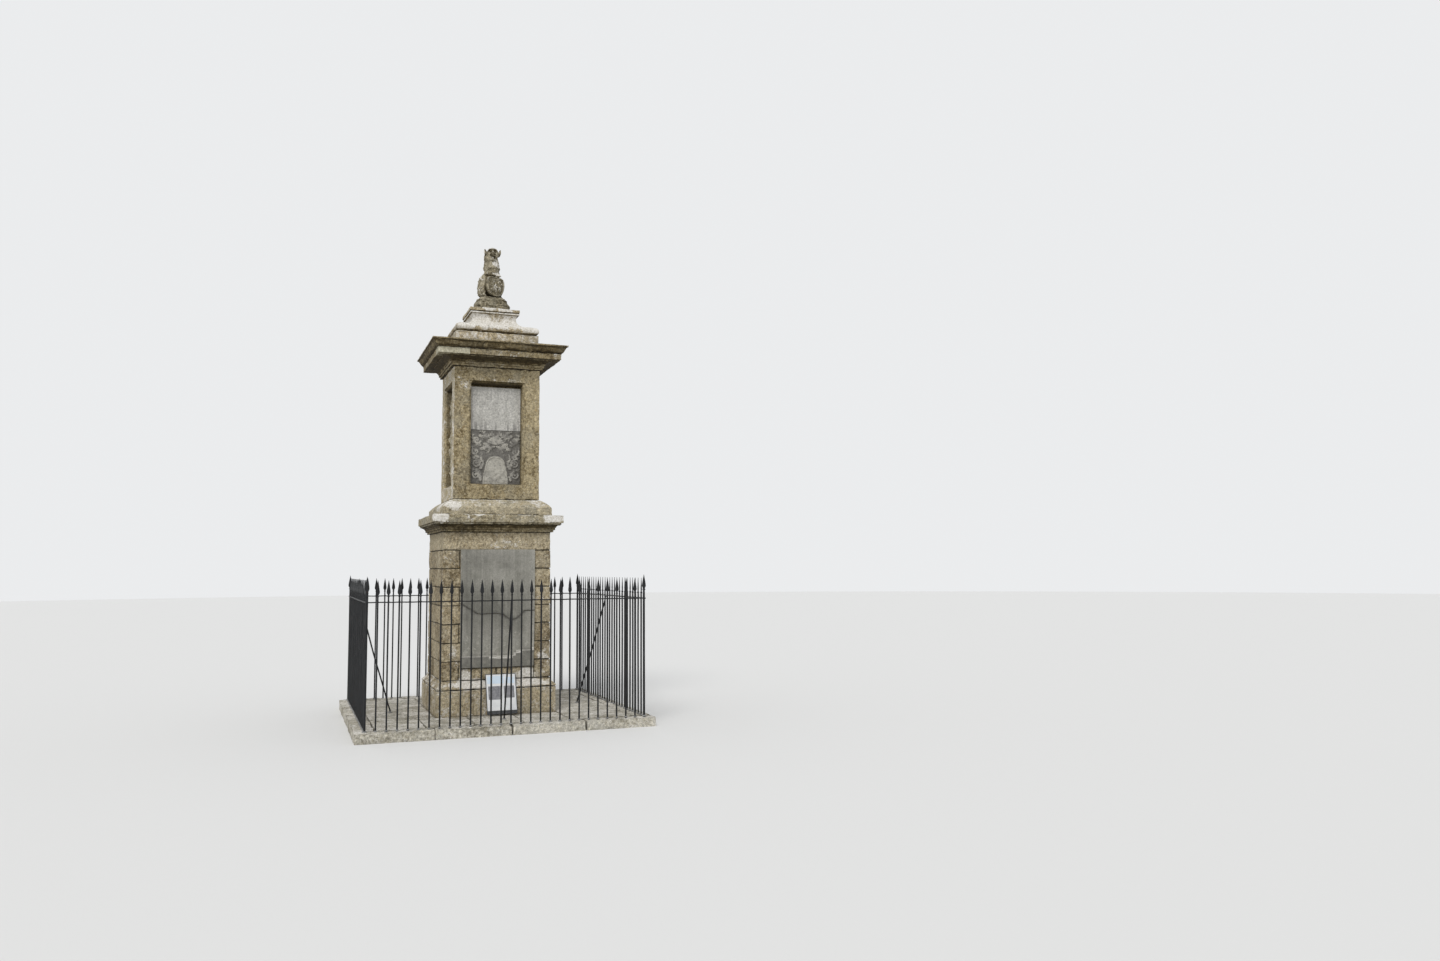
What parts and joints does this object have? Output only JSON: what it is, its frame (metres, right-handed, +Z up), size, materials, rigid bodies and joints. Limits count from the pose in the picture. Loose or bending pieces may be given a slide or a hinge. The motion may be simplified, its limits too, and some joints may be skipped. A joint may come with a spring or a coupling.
{
  "type": "railed stone pedestal monument",
  "caption": "Two-stage ashlar pedestal monument with moulded cornices, carved panels, a seated griffin holding a shield on top, and a square spear-headed iron railing.",
  "frame": {"origin": "centre of the platform's underside", "axes": "+Z up, -Y towards the front with the inscription tablet, +X towards the viewer's right"},
  "size_m": [4.344, 4.344, 7.7453],
  "materials": {
    "limestone": "matte",
    "repair_stone": "matte",
    "platform": "matte",
    "slate": "matte",
    "iron": "satin",
    "board": "matte",
    "sheet": "matte"
  },
  "bodies": {
    "root": {"kerb_front": "platform", "kerb_back": "platform", "kerb_left": "platform", "kerb_right": "platform", "platform_front": "platform", "platform_back": "platform", "platform_left": "platform", "platform_right": "platform", "plinth": "limestone", "base_moulding": "limestone", "lower_die": "limestone", "lower_tablet": "slate", "lower_tablet_foot": "slate", "rear_tablet": "slate", "bed_moulding": "limestone", "pedestal_cornice": "limestone", "weathering": "limestone", "upper_die": "limestone", "front_tablet": "slate", "front_relief": "slate", "back_tablet": "slate", "back_relief": "slate", "left_relief": "slate", "right_relief": "slate", "cornice_bed": "limestone", "corona": "limestone", "corona_repair": "repair_stone", "crown": "limestone", "blocking_course": "limestone", "torus": "limestone", "scotia": "limestone", "cap_slab": "limestone", "mound": "limestone", "griffin": "limestone", "shield": "limestone", "railing_front": "iron", "railing_back": "iron", "railing_left": "iron", "railing_right": "iron", "stay_front": "iron", "stay_back": "iron", "stay_left": "iron", "stay_right": "iron", "notice_board": "board", "notice_sheet": "sheet"}
  },
  "joints": []
}
